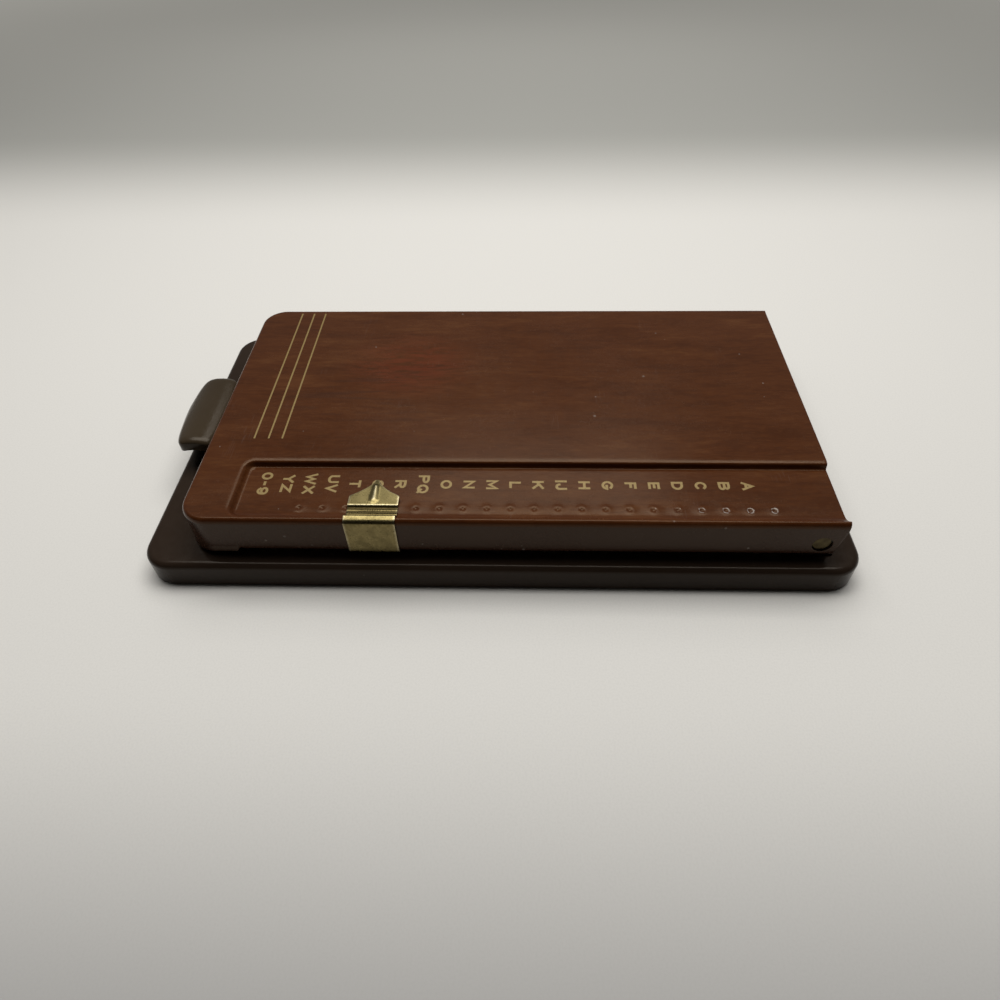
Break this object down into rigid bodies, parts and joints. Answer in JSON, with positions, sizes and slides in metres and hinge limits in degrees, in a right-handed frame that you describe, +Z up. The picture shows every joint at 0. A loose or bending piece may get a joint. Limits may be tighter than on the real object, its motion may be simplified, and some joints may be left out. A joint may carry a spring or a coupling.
{
  "type": "pop-up telephone index",
  "caption": "Flat desk telephone index with a sprung hinged lid, a sliding brass letter pointer, stepped index cards and a front release lever.",
  "frame": {"origin": "on the resting surface, under the middle of the base", "axes": "+Z up; +Y towards the hinge, so the release lever faces -Y; +X towards the pointer slide"},
  "size_m": [0.1338, 0.2441, 0.0287],
  "materials": {
    "walnut_print": "glossy walnut-grain print on steel",
    "brown_enamel": "satin dark brown enamel",
    "brass": "lightly tarnished, brushed",
    "plated_steel": "zinc plated",
    "spring_steel": "oiled spring wire",
    "index_card": "stiff cream card",
    "hardboard": "pressed board",
    "rubber": "black rubber"
  },
  "bodies": {
    "base": {"base_pan": "brown_enamel", "base_cover": "hardboard", "rubber_feet": "rubber", "cover_posts": "plated_steel", "cover_screws": "plated_steel", "base_rivets": "plated_steel", "card_bed": "brown_enamel", "hinge_bracket_right": "brown_enamel", "hinge_bracket_left": "brown_enamel", "pivot_pin_right": "brass", "pivot_pin_left": "brass", "hinge_spring_right": "spring_steel", "hinge_spring_left": "spring_steel", "ring_plate": "plated_steel", "card_ring_right": "spring_steel", "card_ring_left": "spring_steel", "lever_bracket_right": "plated_steel", "lever_bracket_left": "plated_steel", "lever_pin": "plated_steel", "release_spring": "spring_steel", "index_card_17": "index_card", "index_card_18": "index_card", "index_card_19": "index_card", "index_card_20": "index_card", "index_card_21": "index_card", "index_card_22": "index_card"},
    "lid": {"lid_shell": "walnut_print", "lid_striker": "plated_steel"},
    "raised_cards": {"index_card_01": "index_card", "index_card_02": "index_card", "index_card_03": "index_card", "index_card_04": "index_card", "index_card_05": "index_card", "index_card_06": "index_card", "index_card_07": "index_card", "index_card_08": "index_card", "index_card_09": "index_card", "index_card_10": "index_card", "index_card_11": "index_card", "index_card_12": "index_card", "index_card_13": "index_card", "index_card_14": "index_card", "index_card_15": "index_card", "index_card_16": "index_card"},
    "pointer": {"pointer_slide": "brass"},
    "lever": {"release_lever": "brown_enamel", "latch_hook": "spring_steel"}
  },
  "joints": [
    {"name": "lid_open", "type": "hinge", "parent": "base", "child": "lid", "pos_m": [0, 0.1064, 0.0183], "axis": [-1, 0, 0], "range_deg": [0, 65], "deforming": ["hinge_spring_right", "hinge_spring_left", "latch_hook"]},
    {"name": "cards_rise", "type": "hinge", "parent": "base", "child": "raised_cards", "pos_m": [0, 0.1064, 0.0183], "axis": [-1, 0, 0], "range_deg": [0, 65]},
    {"name": "pointer_travel", "type": "slide", "parent": "lid", "child": "pointer", "axis": [0, 1, 0], "range_m": [-0.0346, 0.1246]},
    {"name": "lever_press", "type": "hinge", "parent": "base", "child": "lever", "pos_m": [0, -0.094, 0.014], "axis": [1, 0, 0], "range_deg": [0, 9], "stiffness_Nm_per_rad": 0.4, "springref_deg": -5.73, "deforming": ["release_spring"]}
  ],
  "couplings": [
    {"joint": "cards_rise", "follows": "lid_open", "ratio": 0.99}
  ]
}
